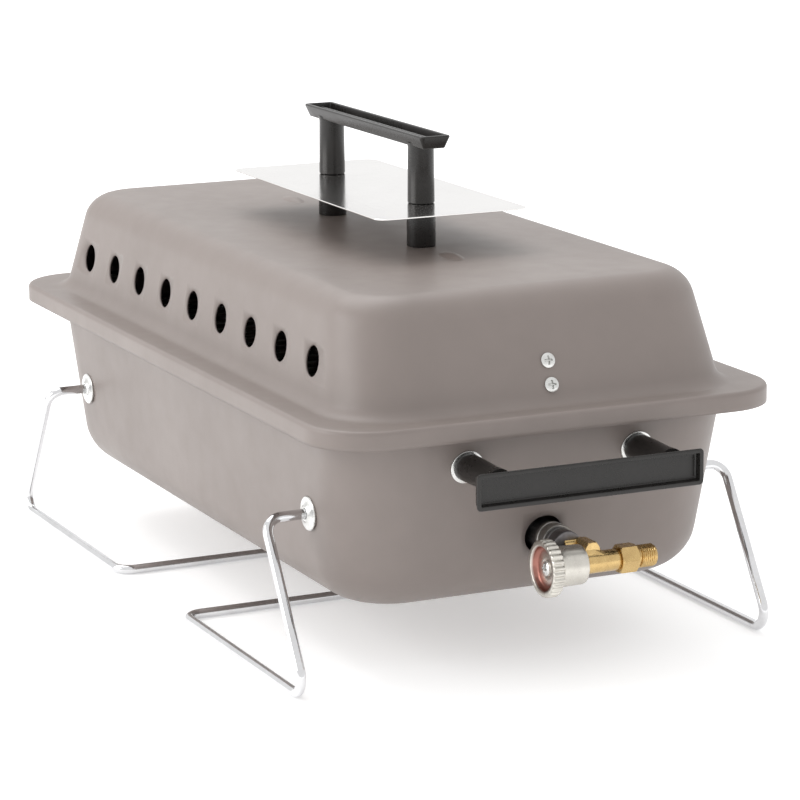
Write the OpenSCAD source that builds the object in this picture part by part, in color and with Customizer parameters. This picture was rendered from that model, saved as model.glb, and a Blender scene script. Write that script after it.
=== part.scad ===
// Folding camp grill: a pressed steel firebox on two folding wire legs, a lift-off lid with
// a handle, heat shield and vents, and a gas burner with its valve and threaded inlet.
// The ground is z = 0, the long axis is X with the valve at +X, and the vents face -Y.

/* [Body] */
// Length of the lid's rim
rim_l = 538; // [440:1:650]
// Width of the lid's rim
rim_w = 290; // [240:1:350]
// Corner radius of the rim in plan
rim_r = 38; // [30:1:50]
// Height of the lid's turned-down skirt
skirt_h = 11; // [8:0.5:14]
// Thickness of the pressed steel
sheet = 1.2; // [0.8:0.1:1.6]
// Height of the firebox floor above the ground
floor_z = 41; // [38:1:60]
// Height of the firebox from its floor to its rim
box_h = 115.5; // [96:0.5:139]
// Radius where the firebox walls meet the floor
box_fillet = 25; // [12:1:30]
// Draw-in of the firebox end walls from rim to floor
box_draw_x = 25; // [12:1:30]
// Draw-in of the firebox long walls from rim to floor
box_draw_y = 8; // [3:1:14]
// Height of the lid's dome above its ledge
dome_h = 64; // [53:1:77]
// Radius of the dome's top edge
dome_fillet = 14; // [10:1:24]
// Run of the dome's sloping end walls
dome_run_x = 23; // [16:1:32]
// Run of the dome's sloping long walls
dome_run_y = 10; // [6:0.5:16]

/* [Vents and lid fittings] */
// Number of vent holes in the front of the lid
vent_n = 9; // [5:1:9]
// Diameter of a vent hole
vent_d = 18.2; // [12:0.2:22]
// Distance between vent holes
vent_pitch = 46.1; // [38:0.1:50]
// Height of the vents above the lid's ledge
vent_rise = 24.2; // [18:0.5:32]
// Height of the lower bracket screw above the lid's ledge
strip_screw_rise = 11; // [8:0.5:14]
// Distance between the two bracket screws along the wall
strip_screw_gap = 14; // [12:0.5:18]
// Outer end of the leg rest pressed into the lid's top
rest_x = 134; // [110:1:140]
// Length of each leg rest
rest_l = 30; // [20:1:36]

/* [Lid handle] */
// How far the handle and shield sit from the lid's middle, towards the valve
handle_shift = 11; // [0:1:14]
// Distance between the handle's posts
post_gap = 132.4; // [112:0.2:162]
// Diameter of a handle post
post_d = 16.4; // [14:0.2:20]
// Height of the spacers between the lid and the heat shield
spacer_h = 25.6; // [21:0.2:31]
// Length of the heat shield
shield_l = 227; // [190:1:272]
// Width of the heat shield
shield_w = 100; // [85:1:126]
// Thickness of the heat shield
shield_t = 0.8; // [0.6:0.1:1.2]
// Length of the grip
grip_l = 175; // [150:1:200]
// Width of the grip
grip_w = 20; // [18:0.5:26]
// Height of the grip's tray
grip_h = 8; // [6:0.5:12]
// Height of the posts between the shield and the grip
post_h = 35; // [31:1:45]

/* [Side handles] */
// Distance between a side handle's posts
side_gap = 108; // [90:0.2:130]
// Length of a side grip
side_l = 142; // [120:1:165]
// Height of a side grip
side_grip_h = 21; // [18:0.5:25]
// Depth of a side grip
side_grip_t = 8; // [6:0.5:10]
// Reach of a side handle from the rim's plane
side_reach = 28; // [28:0.5:34]
// Height of the side handles below the firebox rim
side_drop = 28.5; // [26:0.5:36]

/* [Legs] */
// Diameter of the leg wire
wire_d = 6; // [5:0.5:7]
// Distance of each pivot from the grill's middle
pivot_x = 185; // [175:1:195]
// Height of the pivots above the ground
pivot_z = 94; // [85:1:100]
// How far the foot's outer corner stands out past the pivot
foot_out = 58; // [48:1:68]
// How far the crossbar stands in from the pivot
foot_in = 129; // [120:1:136]
// Bend radius of the wire at its centreline
wire_bend = 10; // [8:1:12]
// Diameter of the flanged bush that the wire turns in
bush_d = 20; // [16:1:22]

/* [Gas] */
// Sideways place of the burner
burner_y = 0; // [-8:1:8]
// Height of the burner above the firebox floor
burner_rise = 39; // [33:1:47]
// Diameter of the burner tube
burner_d = 25; // [20:1:30]
// Diameter of the burner's neck
neck_d = 17.5; // [14.5:0.5:19.5]
// Diameter of the hole that the neck passes through
neck_hole_d = 24; // [20:0.5:28]
// Distance of the valve's axis outside the rim
valve_out = 11; // [8:0.5:11]
// Drop of the valve's axis below the neck
valve_drop = 7.5; // [7:0.5:9]
// Diameter of the knob's hub
hub_d = 23; // [19:0.5:24]
// Diameter of the knob's disc
knob_d = 33; // [28:0.5:36]
// Diameter of the gas inlet's thread
inlet_d = 13.16; // [9.73:0.01:16.66]
// Length of the gas inlet's thread
inlet_l = 11; // [8:0.5:14]

/* [Grid] */
// Diameter of the grid's frame wire
grid_d = 5; // [4:0.5:6]
// Diameter of the grid's bars
bar_d = 3.4; // [3:0.2:4]
// Number of bars in the grid
bar_n = 25; // [15:1:27]
// Depth of the grid below the firebox rim
grid_drop = 16; // [14:0.5:22]

/* [Hidden] */
$fn = 48;
hull_fn = 32;
wire_fn = 20;

// Clearances, each written once
seat_gap = 0.3;   // between pieces that rest on each other across a joint
run_gap = 0.05;   // radial, for a shaft that turns in a hole
screw_gap = 0.15; // radial, for a screw in its hole
skirt_gap = 1.5;  // between the lid's skirt and the firebox rim
leg_gap = 2;      // between the leg wires and the lid's rim
cut = 1;          // how far a cutting tool passes a face

// Heights
rim_z = floor_z + box_h;
ledge_z = rim_z + seat_gap + sheet;
lid_z = ledge_z + dome_h;
skirt_z = ledge_z - skirt_h;
shield_z = lid_z + spacer_h;
grip_z = shield_z + shield_t + post_h;
grid_z = rim_z - grid_drop;
side_z = rim_z - side_drop;
burner_z = floor_z + burner_rise;
valve_z = burner_z - valve_drop;
wire_r = wire_d / 2;

// Plan sizes, each as half of the whole
rim_x = rim_l / 2;
rim_y = rim_w / 2;
ledge_x = 18;
ledge_y = 22;
wall_in_x = 14;
wall_in_y = 18.5;
dome_x0 = rim_x - ledge_x;
dome_y0 = rim_y - ledge_y;
box_x0 = rim_x - wall_in_x;
box_y0 = rim_y - wall_in_y;
leg_y = rim_y + leg_gap + wire_r;
valve_x = rim_x + valve_out;
side_x = rim_x + side_reach;

// Half-length and half-width of the firebox and the dome at height z
function box_x(z) = box_x0 - box_draw_x * (rim_z - z) / box_h;
function box_y(z) = box_y0 - box_draw_y * (rim_z - z) / box_h;
function dome_x(z) = dome_x0 - dome_run_x * (z - ledge_z) / dome_h;
function dome_y(z) = dome_y0 - dome_run_y * (z - ledge_z) / dome_h;
box_tilt = atan(box_draw_x / box_h);
dome_tilt_x = atan(dome_run_x / dome_h);
dome_tilt_y = atan(dome_run_y / dome_h);

// Vector helpers
function unit(v) = v / norm(v);
function across(v) = unit(abs(v[2]) > 0.9 ? cross([0, 1, 0], v) : cross([0, 0, 1], v));

// Colours
paint = [0.56, 0.53, 0.50];
plastic = [0.08, 0.08, 0.08];
chrome = [0.85, 0.86, 0.88];
steel = [0.62, 0.63, 0.64];
gold = [0.80, 0.62, 0.30];

// A rectangle with round corners, given as half-sizes
module plate2d(x, y, r) {
    square([2 * (x - r), 2 * y], center = true);
    square([2 * x, 2 * (y - r)], center = true);
    for (sx = [-1, 1], sy = [-1, 1])
        translate([sx * (x - r), sy * (y - r)]) circle(r);
}

module plate(x, y, r, t) {
    linear_extrude(t) plate2d(x, y, r);
}

// A pressed pan with its floor at z = 0: walls that lean out to the mouth, and a round edge
module pan_solid(h, mouth_x, mouth_y, draw_x, draw_y, r, fillet, extra = 0) {
    steps = 5;
    slice = 0.01;
    hull() {
        for (i = [0 : steps]) {
            a = 90 * i / steps;
            z = fillet * (1 - cos(a));
            inset = fillet * (1 - sin(a));
            translate([0, 0, z])
                plate(mouth_x - draw_x * (h - z) / h - inset, mouth_y - draw_y * (h - z) / h - inset,
                    max(r - inset, 10), slice, $fn = hull_fn);
        }
        translate([0, 0, h + extra - slice])
            plate(mouth_x + draw_x * extra / h, mouth_y + draw_y * extra / h, r, slice, $fn = hull_fn);
    }
}

module pan_shell(h, mouth_x, mouth_y, draw_x, draw_y, r, fillet) {
    difference() {
        pan_solid(h, mouth_x, mouth_y, draw_x, draw_y, r, fillet);
        translate([0, 0, sheet])
            pan_solid(h - sheet, mouth_x - sheet, mouth_y - sheet, draw_x * (h - sheet) / h,
                draw_y * (h - sheet) / h, r - sheet, fillet - sheet, extra = cut);
    }
}

// Places children with local X along x_dir and local Z along z_dir
module lay(at, x_dir, z_dir) {
    y_dir = cross(z_dir, x_dir);
    multmatrix([[x_dir[0], y_dir[0], z_dir[0], at[0]],
        [x_dir[1], y_dir[1], z_dir[1], at[1]],
        [x_dir[2], y_dir[2], z_dir[2], at[2]],
        [0, 0, 0, 1]])
        children();
}

// A round wire along points, with a bend of one radius at each inner point. A hair-thin
// collar covers each place where a straight meets a bend, so that they join as one solid.
module wire(points, r, bend) {
    collar = 0.02;
    collar_l = 0.8;
    last = len(points) - 1;
    dirs = [for (i = [0 : last - 1]) unit(points[i + 1] - points[i])];
    turns = [for (i = [1 : last - 1]) acos(dirs[i - 1] * dirs[i])];
    backs = [for (t = turns) bend * tan(t / 2)];
    for (i = [0 : last - 1]) {
        start = points[i] + dirs[i] * (i == 0 ? 0 : backs[i - 1]);
        stop = points[i + 1] - dirs[i] * (i == last - 1 ? 0 : backs[i]);
        lay(start, across(dirs[i]), dirs[i]) cylinder(r = r, h = norm(stop - start), $fn = wire_fn);
        if (i > 0)
            lay(start, across(dirs[i]), dirs[i])
                cylinder(r = r + collar, h = collar_l, center = true, $fn = wire_fn);
        if (i < last - 1)
            lay(stop, across(dirs[i]), dirs[i])
                cylinder(r = r + collar, h = collar_l, center = true, $fn = wire_fn);
    }
    for (i = [1 : last - 1]) {
        inward = unit(dirs[i] - dirs[i - 1] * (dirs[i] * dirs[i - 1]));
        centre = points[i] - dirs[i - 1] * backs[i - 1] + inward * bend;
        lay(centre, -inward, cross(-inward, dirs[i - 1]))
            rotate_extrude(angle = turns[i - 1], $fn = hull_fn) translate([bend, 0]) circle(r, $fn = wire_fn);
    }
}

// Cylinders along X or Y from a starting point
module rod_x(at, r, l) {
    translate(at) rotate([0, 90, 0]) cylinder(r = r, h = l);
}

module rod_y(at, r, l) {
    translate(at) rotate([-90, 0, 0]) cylinder(r = r, h = l);
}

module hex_y(at, flats, l) {
    translate(at) rotate([-90, 0, 0]) cylinder(d = flats / cos(30), h = l, $fn = 6);
}

module hex_z(at, flats, l) {
    translate(at) cylinder(d = flats / cos(30), h = l, $fn = 6);
}

// Local frames on the walls, with local Z straight out of the wall
module on_box_end(side, y, z) {
    mirror([side < 0 ? 1 : 0, 0, 0])
        translate([box_x(z), y, z]) rotate([0, 90 + box_tilt, 0]) children();
}

module on_dome_end(side, y, z) {
    mirror([side < 0 ? 1 : 0, 0, 0])
        translate([dome_x(z), y, z]) rotate([0, 90 - dome_tilt_x, 0]) children();
}

module on_dome_front(x, z) {
    translate([x, -dome_y(z), z]) rotate([90 - dome_tilt_y, 0, 0]) children();
}

// ---- Firebox ----
flange_x = rim_x - sheet - skirt_gap;
flange_y = rim_y - sheet - skirt_gap;
flange_r = rim_r - sheet - skirt_gap;
hem_h = 6;
wall_r = 45;
dome_r = 37;
bush_hole_r = 5;
// Half the gap between the side handle's posts, kept off the round corners of the wall
side_at = min(side_gap / 2, box_y0 - wall_r - 12);
side_screw_r = 2.5;
air_hole_d = 8;
air_hole_pitch = 60;
air_hole_n = 6;
air_hole_y = 45;

module rim_ring(x, y, r, t, wall) {
    linear_extrude(t) difference() {
        plate2d(x, y, r);
        plate2d(x - wall, y - wall, r - wall);
    }
}

module firebox() {
    color(paint) difference() {
        union() {
            translate([0, 0, floor_z])
                pan_shell(box_h, box_x0, box_y0, box_draw_x, box_draw_y, wall_r, box_fillet);
            translate([0, 0, rim_z - sheet]) linear_extrude(sheet) difference() {
                plate2d(flange_x, flange_y, flange_r);
                plate2d(box_x0 - sheet / 2, box_y0 - sheet / 2, wall_r - sheet / 2);
            }
            translate([0, 0, rim_z - hem_h]) rim_ring(flange_x, flange_y, flange_r, hem_h, sheet);
        }
        for (sx = [-1, 1])
            rod_y([sx * pivot_x, -rim_y, pivot_z], bush_hole_r + run_gap, rim_w);
        for (sx = [-1, 1], sy = [-1, 1])
            on_box_end(sx, sy * side_at, side_z)
                cylinder(r = side_screw_r + screw_gap, h = 20, center = true);
        rod_x([box_x(burner_z) - 20, burner_y, burner_z], neck_hole_d / 2, 40);
        for (i = [0 : air_hole_n - 1], sy = [-1, 1])
            translate([(i - (air_hole_n - 1) / 2) * air_hole_pitch, sy * air_hole_y, floor_z])
                cylinder(d = air_hole_d, h = 20, center = true);
    }
}

// ---- Cooking grid and the ledges it rests on ----
ledge_t = 1.5;
ledge_reach = 16;
ledge_w = 30;
ledge_leg = 14;
ledge_place_x = box_x0 * 0.59;
grid_margin_x = 16;
grid_margin_y = 9.5;
grid_bend = 14;
grid_half_x = box_x(grid_z) - sheet - grid_margin_x;
grid_half_y = box_y(grid_z) - sheet - grid_margin_y;
ledge_top = grid_z - grid_d / 2 - seat_gap;

module grid_supports() {
    wall_y = box_y(ledge_top - ledge_leg) - sheet - run_gap;
    color(steel) for (sx = [-1, 1], sy = [-1, 1]) translate([sx * ledge_place_x, 0, 0])
        mirror([0, sy < 0 ? 1 : 0, 0]) {
            translate([-ledge_w / 2, wall_y - ledge_t, ledge_top - ledge_leg])
                cube([ledge_w, ledge_t, ledge_leg]);
            translate([-ledge_w / 2, wall_y - ledge_reach, ledge_top - ledge_t])
                cube([ledge_w, ledge_reach, ledge_t]);
        }
}

grid_inner_x = grid_half_x - grid_d / 2 - run_gap;
grid_inner_y = grid_half_y - grid_d / 2 - run_gap;

module grid_frame() {
    color(chrome) translate([0, 0, grid_z])
        wire([[0, -grid_half_y, 0], [grid_half_x, -grid_half_y, 0], [grid_half_x, grid_half_y, 0],
            [-grid_half_x, grid_half_y, 0], [-grid_half_x, -grid_half_y, 0], [0, -grid_half_y, 0]],
            grid_d / 2, grid_bend);
}

// The bars end against the inside of the frame
module grid_bars() {
    pitch = 2 * (grid_half_x - grid_bend / 2) / (bar_n + 1);
    color(chrome) for (i = [1 : bar_n])
        rod_y([-grid_half_x + grid_bend / 2 + i * pitch, -grid_inner_y, grid_z], bar_d / 2,
            2 * grid_inner_y, $fn = wire_fn);
}

// Two braces run the length of the grid under its bars
module grid_braces() {
    color(chrome) for (sy = [-1, 1])
        rod_x([-grid_inner_x, sy * grid_half_y / 2, grid_z - bar_d - run_gap], bar_d / 2,
            2 * grid_inner_x, $fn = wire_fn);
}

// ---- Burner, its bracket and the flame tamer over it ----
burner_x0 = 48.44 - box_x(burner_z);
burner_x1 = box_x(burner_z) - 43.44;
neck_start = box_x(burner_z) - 26.44;
mouth_in = 21;
neck_end = valve_x - mouth_in;
tube_t = 1;
port_n = 14;
port_d = 2.6;
port_angle = 30;
bracket_t = 1.5;
bracket_w = 26;
burner_screw_r = 2;
tab_l = 14;
tab_t = 3;

module burner_tube() {
    br = burner_d / 2;
    nr = neck_d / 2;
    pitch = (burner_x1 - burner_x0 - 40) / (port_n - 1);
    color(steel) difference() {
        union() {
            translate([0, burner_y, burner_z]) rotate([0, 90, 0]) rotate_extrude() polygon([
                [0, burner_x0], [br, burner_x0], [br, burner_x1], [nr, neck_start], [nr, neck_end],
                [nr - tube_t, neck_end], [nr - tube_t, neck_start], [br - tube_t, burner_x1],
                [br - tube_t, burner_x0 + tube_t], [0, burner_x0 + tube_t]]);
            translate([burner_x0 - tab_l, burner_y - bracket_w / 4, burner_z - tab_t / 2])
                cube([tab_l, bracket_w / 2, tab_t]);
        }
        for (i = [0 : port_n - 1], s = [-1, 1])
            translate([burner_x0 + 20 + i * pitch, burner_y, burner_z])
                rotate([s * (90 - port_angle), 0, 0]) cylinder(d = port_d, h = burner_d);
        translate([burner_x0 - tab_l / 2, burner_y, burner_z])
            cylinder(r = burner_screw_r + screw_gap, h = 4 * tab_t, center = true);
    }
}

module burner_bracket() {
    top = burner_z - tab_t / 2 - run_gap;
    base = floor_z + sheet + run_gap;
    color(steel) translate([burner_x0 - tab_l, burner_y - bracket_w / 2, 0]) difference() {
        union() {
            translate([0, 0, top - bracket_t]) cube([tab_l, bracket_w, bracket_t]);
            translate([tab_l - bracket_t, 0, base]) cube([bracket_t, bracket_w, top - base]);
            translate([tab_l - bracket_t, 0, base]) cube([tab_l, bracket_w, bracket_t]);
        }
        translate([tab_l / 2, bracket_w / 2, top - 5]) cylinder(r = burner_screw_r + screw_gap, h = 10);
    }
}

module burner_screw() {
    head_z = burner_z + tab_t / 2 + run_gap;
    nut_z = burner_z - tab_t / 2 - bracket_t - 2 * run_gap;
    color(chrome) translate([burner_x0 - tab_l / 2, burner_y, 0]) {
        translate([0, 0, nut_z - 4]) cylinder(r = burner_screw_r, h = head_z - nut_z + 4.5);
        translate([0, 0, head_z]) cylinder(r = 3.8, h = 2.4);
        hex_z([0, 0, nut_z - 3], 7, 3);
    }
}

tamer_l = burner_x1 - burner_x0 - 5;
tamer_half_w = 36;
tamer_rise = 16;
tamer_t = 1;
tamer_gap = 8;
tamer_x = (burner_x0 + burner_x1) / 2 + 2.5;
tamer_z = burner_z + burner_d / 2 + tamer_gap;
foot_x = tamer_l * 0.395;
foot_t = 1.5;
foot_w = 22;

module flame_tamer() {
    color(steel) translate([tamer_x - tamer_l / 2, burner_y, tamer_z - tamer_rise])
        rotate([90, 0, 90]) linear_extrude(tamer_l) polygon([
            [-tamer_half_w, 0], [0, tamer_rise], [tamer_half_w, 0],
            [tamer_half_w, -tamer_t], [0, tamer_rise - tamer_t], [-tamer_half_w, -tamer_t]]);
}

// Four upright plates stand on the floor and carry the tamer's lower edges
module tamer_feet() {
    top = tamer_z - tamer_rise - tamer_t - run_gap;
    base = floor_z + sheet + run_gap;
    color(steel) for (sx = [-1, 1]) for (sy = [-1, 1])
        translate([tamer_x + sx * foot_x - foot_w / 2, burner_y + sy * (tamer_half_w - 4) - foot_t / 2, base])
            cube([foot_w, foot_t, top - base]);
}

// ---- Valve, inlet and knob, all on one axis along Y ----
knob_y0 = -23;
knob_t = 7.5;
hub_l = 18;
knob_gap = 0.6;
spindle_r = 3;
spindle_out = 12;
spindle_in = 9;
body_r = 6.2;
body_l = 22;
nut_flats = 15;
nut_l = 11;
nut_gap = 1.3;
boss_flats = 9;
boss_y = 8.5;
boss_in = 12;
link_x = -14.5;
holder_r = 8.7;
holder_l = 8.75;
link_r = 4.2;
jet_r = 2;
jet_l = 9;
body_y0 = knob_y0 + knob_t + hub_l + knob_gap;

// Everything here is placed from the point of the valve's axis that faces the burner
module on_valve() {
    translate([valve_x, burner_y, valve_z]) children();
}

module valve_body() {
    color(gold) on_valve() difference() {
        union() {
            rod_y([0, body_y0, 0], body_r, body_l);
            translate([-boss_in, boss_y, valve_drop]) rotate([0, 90, 0])
                cylinder(d = boss_flats / cos(30), h = boss_in + 2, $fn = 6);
            rod_y([link_x, -2, valve_drop], link_r, boss_y + 2);
            hull() {
                rod_y([-2, body_y0, valve_drop - 2.5], 5, boss_y + 1 - body_y0);
                rod_y([0, body_y0, 0], body_r - 0.2, 13);
            }
            rod_x([link_x, boss_y, valve_drop], link_r, 4);
        }
        rod_y([0, body_y0 - cut, 0], spindle_r + run_gap, spindle_in + cut);
        rod_y([0, body_y0 + spindle_in + 2, 0], 2, body_l);
        rod_x([link_x - link_r - cut, 0, valve_drop], jet_r + run_gap, link_r + cut);
    }
}

// A steel plug closes the neck and holds the jet on the burner's axis
module jet_holder() {
    color(steel) on_valve() difference() {
        rod_x([run_gap - mouth_in, 0, valve_drop], holder_r, holder_l);
        rod_y([link_x, -2 - run_gap, valve_drop], link_r + run_gap, 20);
        rod_x([-mouth_in - cut, 0, valve_drop], jet_r + 1.5 + run_gap, mouth_in + link_x);
    }
}

// The brass jet points along the burner's neck
module jet() {
    color(gold) on_valve() difference() {
        union() {
            rod_x([link_x - link_r + 0.5, 0, valve_drop], jet_r, 3);
            rod_x([link_x - link_r - jet_l, 0, valve_drop], jet_r + 1.5, jet_l - run_gap);
            rod_x([link_x - link_r - jet_l / 2, 0, valve_drop], jet_r, jet_l / 2 + 1);
        }
        rod_x([link_x - link_r - jet_l - cut, 0, valve_drop], 0.5, jet_l - 2);
    }
}

module gas_inlet() {
    y2 = body_y0 + body_l + run_gap;
    y3 = y2 + nut_l;
    color(gold) on_valve() difference() {
        union() {
            hex_y([0, y2, 0], nut_flats, nut_l);
            rod_y([0, y3 - 0.5, 0], inlet_d / 2 - 1, nut_gap + 1);
            rod_y([0, y3 + nut_gap, 0], inlet_d / 2, inlet_l);
        }
        rod_y([0, y2 - cut, 0], 3, nut_l + nut_gap + inlet_l + 2 * cut);
    }
}

module valve_spindle() {
    color(steel) on_valve()
        rod_y([0, body_y0 - spindle_out, 0], spindle_r, spindle_out + spindle_in - 1);
}

module knob() {
    dish_r = knob_d / 2 - 4;
    dish = 4;
    teeth = 30;
    screw_y = knob_y0 + dish;
    spindle_y = body_y0 - spindle_out;
    color(steel) on_valve() difference() {
        union() {
            rod_y([0, knob_y0, 0], knob_d / 2, knob_t);
            rod_y([0, knob_y0 + knob_t - 0.5, 0], hub_d / 2, hub_l + 0.5);
        }
        rod_y([0, knob_y0 - cut, 0], dish_r, dish + cut);
        rod_y([0, screw_y - cut, 0], screw_hole_r - 0.4, spindle_y - screw_y + 2 * cut);
        rod_y([0, spindle_y - 1, 0], spindle_r + run_gap, hub_l + knob_t);
        for (i = [0 : teeth - 1])
            rotate([0, i * 360 / teeth, 0])
                rod_y([knob_d / 2 + 0.6, knob_y0 - cut, 0], 1.3, knob_t + cut - 0.6);
    }
}

module knob_screw() {
    face = knob_y0 + 4;
    color(chrome) on_valve() {
        rod_y([0, face - 2.2 - run_gap, 0], 4.5, 2.2);
        rod_y([0, face - 1, 0], 2, body_y0 - spindle_out - 2.2 - face + 1);
    }
}

module air_shutter() {
    color(steel) translate([0, burner_y, burner_z]) difference() {
        rod_x([neck_end - 12, 0, 0], neck_d / 2 + 1.2, 10);
        rod_x([neck_end - 13, 0, 0], neck_d / 2 + run_gap, 12);
    }
}

// ---- Legs: each is one bent wire that turns in two bushes through the long walls ----
stub_in = 9;
push_nut_r = 6.5;
push_nut_t = 1.2;
wire_end_y = box_y(pivot_z) - sheet - stub_in;

module leg_wire(side) {
    low = wire_r;
    outer = pivot_x + foot_out;
    inner = pivot_x - foot_in;
    mirror([side < 0 ? 1 : 0, 0, 0]) color(chrome) wire([
        [pivot_x, -wire_end_y, pivot_z], [pivot_x, -leg_y, pivot_z],
        [outer, -leg_y, low], [inner, -leg_y, low], [inner, leg_y, low], [outer, leg_y, low],
        [pivot_x, leg_y, pivot_z], [pivot_x, wire_end_y, pivot_z]], wire_r, wire_bend);
}

module leg_right() {
    leg_wire(1);
}

module leg_left() {
    leg_wire(-1);
}

module leg_bushes() {
    flange_t = 1.6;
    face = box_y(pivot_z + bush_d / 2) + run_gap;
    inside = box_y(pivot_z) - sheet - 2.5;
    color(chrome) for (sx = [-1, 1], sy = [-1, 1]) translate([sx * pivot_x, 0, 0])
        mirror([0, sy < 0 ? 1 : 0, 0]) difference() {
            union() {
                rod_y([0, face, pivot_z], bush_d / 2, flange_t);
                rod_y([0, inside, pivot_z], bush_hole_r, face - inside + flange_t / 2);
            }
            rod_y([0, inside - cut, pivot_z], wire_r + run_gap, 30);
        }
}

module push_nuts(side) {
    color(steel) for (sy = [-1, 1]) translate([side * pivot_x, 0, pivot_z])
        mirror([0, sy < 0 ? 1 : 0, 0]) difference() {
            rod_y([0, wire_end_y + 2, 0], push_nut_r, push_nut_t);
            rod_y([0, wire_end_y + 1, 0], wire_r + run_gap / 2, push_nut_t + 2);
        }
}

module leg_right_push_nuts() {
    push_nuts(1);
}

module leg_left_push_nuts() {
    push_nuts(-1);
}

// ---- Side handles: two posts and a shallow tray-shaped grip, open to the outside ----
washer_t = 1.2;
washer_r = 10;
tray_wall = 3;
tray_floor = 3;
side_post_r = 8.2;
grip_low = 3;
side_screw_l = 24;

module side_handle(side) {
    back = side_x - side_grip_t;
    mirror([side < 0 ? 1 : 0, 0, 0]) color(plastic) difference() {
        union() {
            for (sy = [-1, 1]) difference() {
                rod_x([box_x(side_z) - 4, sy * side_at, side_z], side_post_r, back - box_x(side_z) + 5);
                on_box_end(1, sy * side_at, side_z)
                    translate([0, 0, -20 + washer_t + run_gap]) cube(40, center = true);
            }
            translate([back, 0, side_z - grip_low]) rotate([90, 0, 90])
                plate(side_l / 2, side_grip_h / 2, 4, side_grip_t);
        }
        translate([back + tray_floor, 0, side_z - grip_low]) rotate([90, 0, 90])
            plate(side_l / 2 - tray_wall, side_grip_h / 2 - tray_wall, 2.5, side_grip_t);
        for (sy = [-1, 1]) on_box_end(1, sy * side_at, side_z)
            cylinder(r = side_screw_r + screw_gap, h = side_screw_l, center = false);
    }
}

module side_handle_right() {
    side_handle(1);
}

module side_handle_left() {
    side_handle(-1);
}

module side_handle_washers() {
    color(chrome) for (sx = [-1, 1], sy = [-1, 1]) on_box_end(sx, sy * side_at, side_z)
        difference() {
            translate([0, 0, run_gap / 2]) cylinder(r = washer_r, h = washer_t);
            cylinder(r = side_screw_r + screw_gap, h = 10, center = true);
        }
}

module side_handle_screws() {
    color(chrome) for (sx = [-1, 1], sy = [-1, 1]) on_box_end(sx, sy * side_at, side_z)
        translate([0, 0, -sheet - run_gap]) {
            cylinder(r = side_screw_r, h = side_screw_l - 4);
            translate([0, 0, -3]) cylinder(r = 4.6, h = 3);
        }
}

// ---- Lid: pressed dome, ledge, turned-down skirt, vents and two leg rests ----
rest_w = 12;
rest_h = 2.6;
screw_hole_r = 2.5;
strip_screw_r = 2;

function strip_screw_z(i) = ledge_z + strip_screw_rise + i * strip_screw_gap * cos(dome_tilt_x);

module leg_rest(side) {
    translate([side * (rest_x - rest_l / 2), 0, lid_z - sheet / 2])
        plate(rest_l / 2, rest_w / 2, rest_w / 2 - 0.1, rest_h + sheet / 2);
}

module lid() {
    color(paint) difference() {
        union() {
            translate([0, 0, lid_z]) mirror([0, 0, 1])
                pan_shell(dome_h, dome_x0, dome_y0, dome_run_x, dome_run_y, dome_r, dome_fillet);
            translate([0, 0, ledge_z - sheet]) linear_extrude(sheet) difference() {
                plate2d(rim_x, rim_y, rim_r);
                plate2d(dome_x0 - sheet / 2, dome_y0 - sheet / 2, dome_r - sheet / 2);
            }
            translate([0, 0, skirt_z]) rim_ring(rim_x, rim_y, rim_r, skirt_h, sheet);
            for (sx = [-1, 1]) leg_rest(sx);
        }
        for (i = [0 : vent_n - 1])
            on_dome_front((i - (vent_n - 1) / 2) * vent_pitch, ledge_z + vent_rise)
                cylinder(d = vent_d, h = 20, center = true);
        at_posts() translate([0, 0, lid_z]) cylinder(r = screw_hole_r + screw_gap, h = 20, center = true);
        for (sx = [-1, 1], i = [0, 1])
            on_dome_end(sx, 0, strip_screw_z(i))
                cylinder(r = strip_screw_r + screw_gap, h = 20, center = true);
    }
}

// ---- Lid handle, its spacers and the heat shield clamped between them ----
spacer_r = 8.8;

module at_posts() {
    for (sx = [-1, 1]) translate([handle_shift + sx * post_gap / 2, 0, 0]) children();
}

module lid_handle_spacers() {
    color(plastic) at_posts() translate([0, 0, lid_z + run_gap]) difference() {
        cylinder(r = spacer_r, h = spacer_h - 2 * run_gap);
        translate([0, 0, -cut]) cylinder(r = screw_hole_r + screw_gap, h = spacer_h + 2 * cut);
    }
}

module heat_shield() {
    color(chrome) difference() {
        translate([handle_shift, 0, shield_z]) plate(shield_l / 2, shield_w / 2, 8, shield_t);
        at_posts() translate([0, 0, shield_z]) cylinder(r = screw_hole_r + screw_gap, h = 10, center = true);
    }
}

module lid_handle() {
    post_z = shield_z + shield_t + run_gap;
    floor_t = 3;
    wall_t = 2.4;
    color(plastic) difference() {
        union() {
            at_posts() translate([0, 0, post_z]) cylinder(d = post_d, h = grip_z - post_z + 1);
            difference() {
                translate([handle_shift, 0, grip_z]) plate(grip_l / 2, grip_w / 2, 4, grip_h);
                translate([handle_shift, 0, grip_z + floor_t])
                    plate(grip_l / 2 - wall_t, grip_w / 2 - wall_t, 2.5, grip_h);
            }
            translate([handle_shift - grip_l / 2 + wall_t, -1, grip_z]) cube([grip_l - 2 * wall_t, 2, grip_h - 1.5]);
        }
        at_posts() translate([0, 0, post_z - cut]) cylinder(r = screw_hole_r + screw_gap, h = 24);
    }
}

module lid_handle_screws() {
    head_top = lid_z - sheet - washer_t - 2 * run_gap;
    color(chrome) at_posts() {
        translate([0, 0, head_top - 3]) cylinder(r = 4.6, h = 3);
        translate([0, 0, head_top - 0.5]) cylinder(r = screw_hole_r, h = spacer_h + 20);
    }
}

module lid_handle_washers() {
    color(chrome) at_posts() translate([0, 0, lid_z - sheet - washer_t - run_gap]) difference() {
        cylinder(r = 8, h = washer_t);
        translate([0, 0, -cut]) cylinder(r = screw_hole_r + screw_gap, h = 5);
    }
}

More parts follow.
